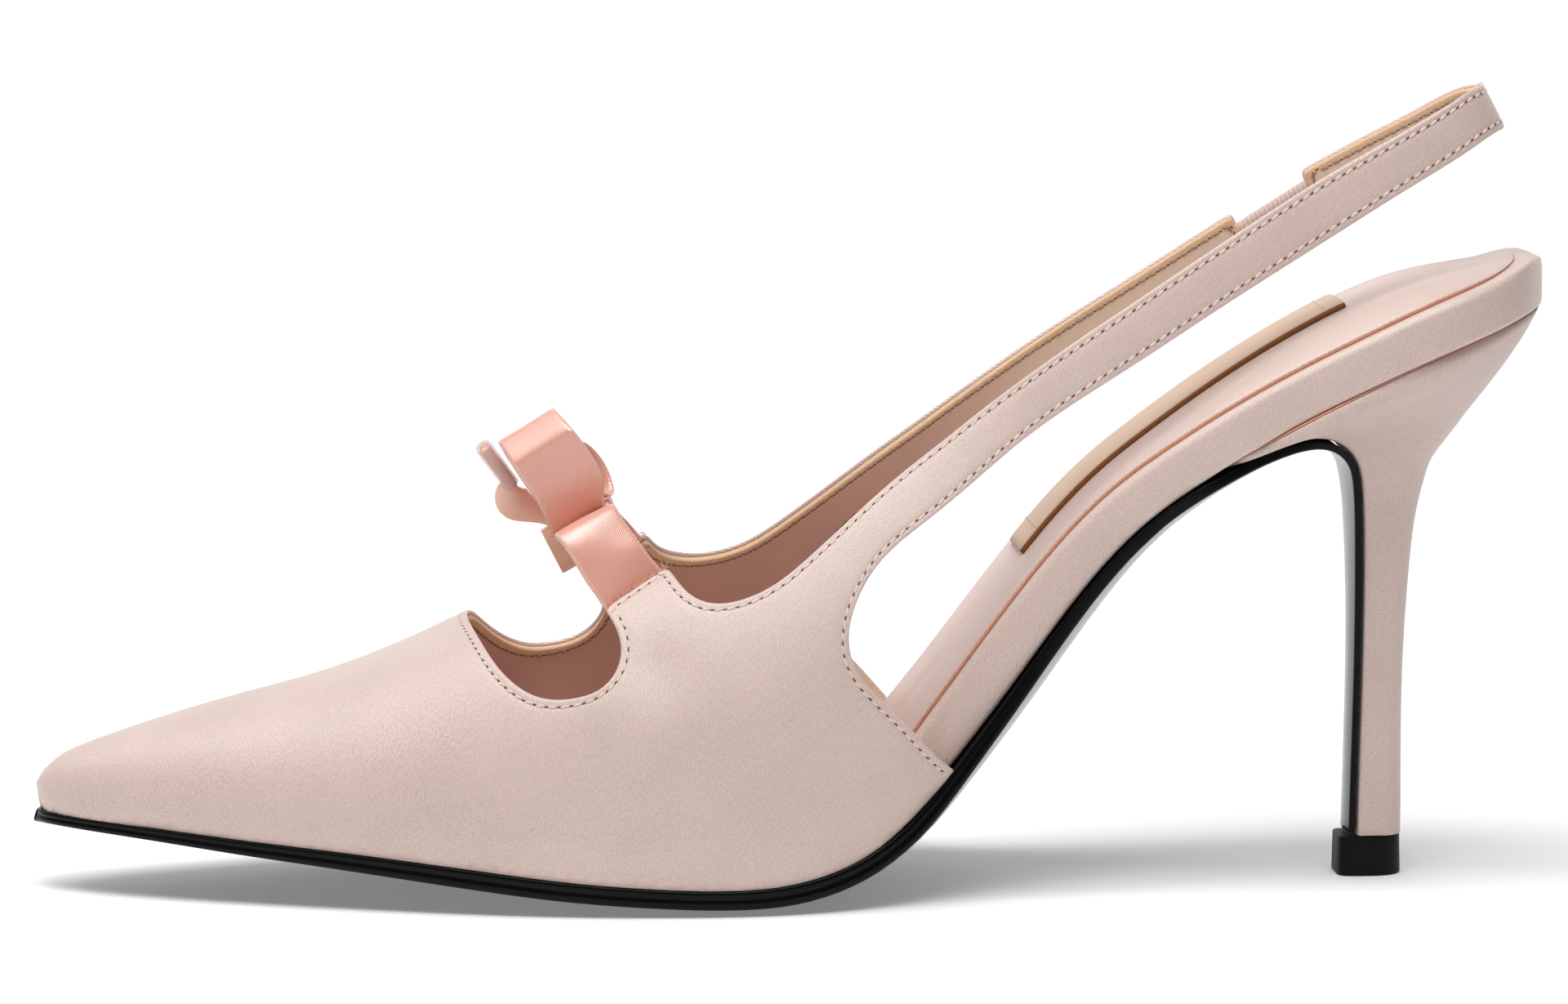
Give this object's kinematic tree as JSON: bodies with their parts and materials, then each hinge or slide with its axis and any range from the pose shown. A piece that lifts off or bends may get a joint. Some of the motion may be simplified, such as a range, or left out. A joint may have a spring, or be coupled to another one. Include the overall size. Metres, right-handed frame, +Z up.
{
  "type": "slingback pump",
  "caption": "Pointed satin slingback pump with an instep cut-out tied by a ribbon bow, a sling strap with an elastic gore, a padded sock and a covered stiletto heel.",
  "frame": {"origin": "on the floor, under the middle of the shoe's length and width", "axes": "+X from toe to heel, +Y from the outer side to the inner side, +Z up"},
  "size_m": [0.2367, 0.0765, 0.1253],
  "materials": {
    "satin": "pale blush duchesse satin, soft sheen",
    "lining": "matt kid lining",
    "black_sole": "black, polished",
    "heel_tip": "black, semi-matt",
    "ribbon": "salmon satin ribbon",
    "label_leather": "beige leather, matt, raw brown edge",
    "elastic": "woven elastic",
    "thread": "spun thread",
    "aglet": "clear sheath over rolled ribbon"
  },
  "bodies": {
    "root": {"outsole": "black_sole", "insole_board": "satin", "sock": "satin", "sock_label": "label_leather", "upper": "satin", "elastic": "elastic", "heel": "satin", "heel_tip": "heel_tip", "ribbon_band_lateral": "ribbon", "ribbon_band_medial": "ribbon", "bow_knot": "ribbon", "bow_loop_lateral": "ribbon", "bow_loop_medial": "ribbon", "bow_tail_lateral": "ribbon", "bow_tail_medial": "ribbon", "aglet": "aglet"}
  },
  "joints": []
}
